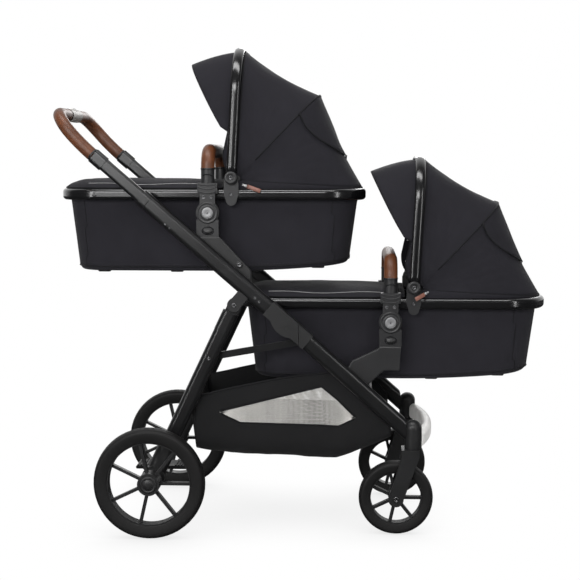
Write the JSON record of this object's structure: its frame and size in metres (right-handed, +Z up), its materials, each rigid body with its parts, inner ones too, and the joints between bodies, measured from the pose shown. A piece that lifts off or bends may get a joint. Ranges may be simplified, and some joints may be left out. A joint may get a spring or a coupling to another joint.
{
  "type": "twin pram",
  "caption": "Tandem pushchair chassis with spoked wheels and swivelling front castors, carrying two hooded carrycots one above the other.",
  "frame": {"origin": "on the floor, under the middle of the pram's overall box", "axes": "+X forward in the direction of travel, +Y to the pram's left, +Z up"},
  "size_m": [1.2952, 0.599, 1.2714],
  "materials": {
    "frame_paint": "satin black powder coat on aluminium tube",
    "black_plastic": "fine-textured moulding",
    "tyre_rubber": "matt rubber",
    "grey_plastic": "smooth moulding",
    "brown_leather": "stitched, lightly grained",
    "basket_cloth": "woven mesh",
    "black_cloth": "close plain weave",
    "mattress_cloth": "soft knitted cover",
    "button_chrome": "bright ring button"
  },
  "bodies": {
    "frame": {"main_tube_left": "frame_paint", "main_tube_right": "frame_paint", "front_tube_left": "frame_paint", "front_tube_right": "frame_paint", "fold_hubs": "black_plastic", "fold_sockets": "black_plastic", "telescope_collars": "black_plastic", "leg_clevises": "black_plastic", "upper_cot_brackets": "black_plastic", "lower_cot_brackets": "black_plastic", "castor_housings": "black_plastic", "front_bumper": "grey_plastic", "frame_crossbar": "frame_paint", "shopping_basket": "basket_cloth"},
    "rear_legs": {"rear_leg_left": "frame_paint", "rear_leg_right": "frame_paint", "rear_axle": "frame_paint", "axle_housings": "black_plastic"},
    "braces": {"leg_braces": "frame_paint"},
    "brake": {"brake_pedal": "black_plastic"},
    "rear_left": {"rear_tyre_left": "tyre_rubber", "rear_wheel_left": "black_plastic"},
    "rear_right": {"rear_tyre_right": "tyre_rubber", "rear_wheel_right": "black_plastic"},
    "castor_left": {"castor_fork_left": "black_plastic"},
    "castor_right": {"castor_fork_right": "black_plastic"},
    "front_left": {"front_tyre_left": "tyre_rubber", "front_wheel_left": "black_plastic"},
    "front_right": {"front_tyre_right": "tyre_rubber", "front_wheel_right": "black_plastic"},
    "handle": {"handle_tubes": "frame_paint", "handle_grips": "brown_leather", "handle_housing": "grey_plastic"},
    "handle_release": {"handle_button": "grey_plastic"},
    "cot_upper": {"cot_rim_upper": "frame_paint", "cot_tub_upper": "black_cloth", "cot_apron_upper": "black_cloth", "cot_mattress_upper": "mattress_cloth", "cot_mounts_upper": "black_plastic", "hood_brackets_upper": "black_plastic", "hood_canopy_upper": "black_cloth"},
    "hood_upper": {"hood_arch_upper": "frame_paint", "hood_visor_upper": "black_cloth"},
    "bow_upper": {"hood_bow_upper": "frame_paint"},
    "bumper_upper": {"bumper_bar_upper": "brown_leather"},
    "button_left_upper": {"cot_button_left_upper": "button_chrome"},
    "button_right_upper": {"cot_button_right_upper": "button_chrome"},
    "cot_lower": {"cot_rim_lower": "frame_paint", "cot_tub_lower": "black_cloth", "cot_apron_lower": "black_cloth", "cot_mattress_lower": "mattress_cloth", "cot_mounts_lower": "black_plastic", "hood_brackets_lower": "black_plastic", "hood_canopy_lower": "black_cloth"},
    "hood_lower": {"hood_arch_lower": "frame_paint", "hood_visor_lower": "black_cloth"},
    "bow_lower": {"hood_bow_lower": "frame_paint"},
    "bumper_lower": {"bumper_bar_lower": "brown_leather"},
    "button_left_lower": {"cot_button_left_lower": "button_chrome"},
    "button_right_lower": {"cot_button_right_lower": "button_chrome"}
  },
  "joints": [
    {"name": "rear_leg_fold", "type": "hinge", "parent": "frame", "child": "rear_legs", "pos_m": [-0.16885, 0, 0.60116], "axis": [0, -1, 0], "range_deg": [0, 38], "deforming": ["shopping_basket"]},
    {"name": "brace_fold", "type": "hinge", "parent": "rear_legs", "child": "braces", "pos_m": [-0.23495, 0, 0.46096], "axis": [0, 1, 0], "range_deg": [0, 95.5]},
    {"name": "brake_rock", "type": "hinge", "parent": "rear_legs", "child": "brake", "pos_m": [-0.38391, -0.07, 0.145], "axis": [0, 1, 0], "range_deg": [0, 18]},
    {"name": "rear_wheel_left_spin", "type": "hinge", "parent": "rear_legs", "child": "rear_left", "pos_m": [-0.38391, 0.275, 0.145], "axis": [0, 1, 0], "continuous": true},
    {"name": "rear_wheel_right_spin", "type": "hinge", "parent": "rear_legs", "child": "rear_right", "pos_m": [-0.38391, -0.275, 0.145], "axis": [0, 1, 0], "continuous": true},
    {"name": "castor_left_swivel", "type": "hinge", "parent": "frame", "child": "castor_left", "pos_m": [0.29709, 0.2, 0.228], "axis": [0, 0, 1], "continuous": true},
    {"name": "front_wheel_left_spin", "type": "hinge", "parent": "castor_left", "child": "front_left", "pos_m": [0.25309, 0.2, 0.097], "axis": [0, 1, 0], "continuous": true},
    {"name": "castor_right_swivel", "type": "hinge", "parent": "frame", "child": "castor_right", "pos_m": [0.29709, -0.2, 0.228], "axis": [0, 0, 1], "continuous": true},
    {"name": "front_wheel_right_spin", "type": "hinge", "parent": "castor_right", "child": "front_right", "pos_m": [0.25309, -0.2, 0.097], "axis": [0, 1, 0], "continuous": true},
    {"name": "handle_slide", "type": "slide", "parent": "frame", "child": "handle", "axis": [0.7547, 0, -0.6561], "range_m": [0, 0.1]},
    {"name": "handle_press", "type": "slide", "parent": "handle", "child": "handle_release", "axis": [0, 0, -1], "range_m": [0, 0.0025], "stiffness_N_per_m": 400},
    {"name": "cot_lift_upper", "type": "slide", "parent": "frame", "child": "cot_upper", "axis": [0, 0, 1], "range_m": [0, 0.055]},
    {"name": "hood_fold_upper", "type": "hinge", "parent": "cot_upper", "child": "hood_upper", "pos_m": [-0.17891, 0, 0.9295], "axis": [0, 1, 0], "range_deg": [0, 70], "deforming": ["hood_canopy_upper"]},
    {"name": "hood_bow_swing_upper", "type": "hinge", "parent": "cot_upper", "child": "bow_upper", "pos_m": [-0.17891, 0, 0.9295], "axis": [0, 1, 0], "range_deg": [0, 36]},
    {"name": "bumper_lift_upper", "type": "slide", "parent": "cot_upper", "child": "bumper_upper", "axis": [0, 0, 1], "range_m": [0, 0.04]},
    {"name": "cot_release_left_upper", "type": "slide", "parent": "cot_upper", "child": "button_left_upper", "axis": [0, -1, 0], "range_m": [0, 0.003], "stiffness_N_per_m": 500},
    {"name": "cot_release_right_upper", "type": "slide", "parent": "cot_upper", "child": "button_right_upper", "axis": [0, 1, 0], "range_m": [0, 0.003], "stiffness_N_per_m": 500},
    {"name": "cot_lift_lower", "type": "slide", "parent": "frame", "child": "cot_lower", "axis": [0, 0, 1], "range_m": [0, 0.055]},
    {"name": "hood_fold_lower", "type": "hinge", "parent": "cot_lower", "child": "hood_lower", "pos_m": [0.29709, 0, 0.6455], "axis": [0, 1, 0], "range_deg": [0, 70], "deforming": ["hood_canopy_lower"]},
    {"name": "hood_bow_swing_lower", "type": "hinge", "parent": "cot_lower", "child": "bow_lower", "pos_m": [0.29709, 0, 0.6455], "axis": [0, 1, 0], "range_deg": [0, 36]},
    {"name": "bumper_lift_lower", "type": "slide", "parent": "cot_lower", "child": "bumper_lower", "axis": [0, 0, 1], "range_m": [0, 0.04]},
    {"name": "cot_release_left_lower", "type": "slide", "parent": "cot_lower", "child": "button_left_lower", "axis": [0, -1, 0], "range_m": [0, 0.003], "stiffness_N_per_m": 500},
    {"name": "cot_release_right_lower", "type": "slide", "parent": "cot_lower", "child": "button_right_lower", "axis": [0, 1, 0], "range_m": [0, 0.003], "stiffness_N_per_m": 500}
  ],
  "couplings": [
    {"joint": "brace_fold", "follows": "rear_leg_fold", "ratio": 2.5},
    {"joint": "hood_bow_swing_upper", "follows": "hood_fold_upper", "ratio": 0.5},
    {"joint": "hood_bow_swing_lower", "follows": "hood_fold_lower", "ratio": 0.5}
  ]
}
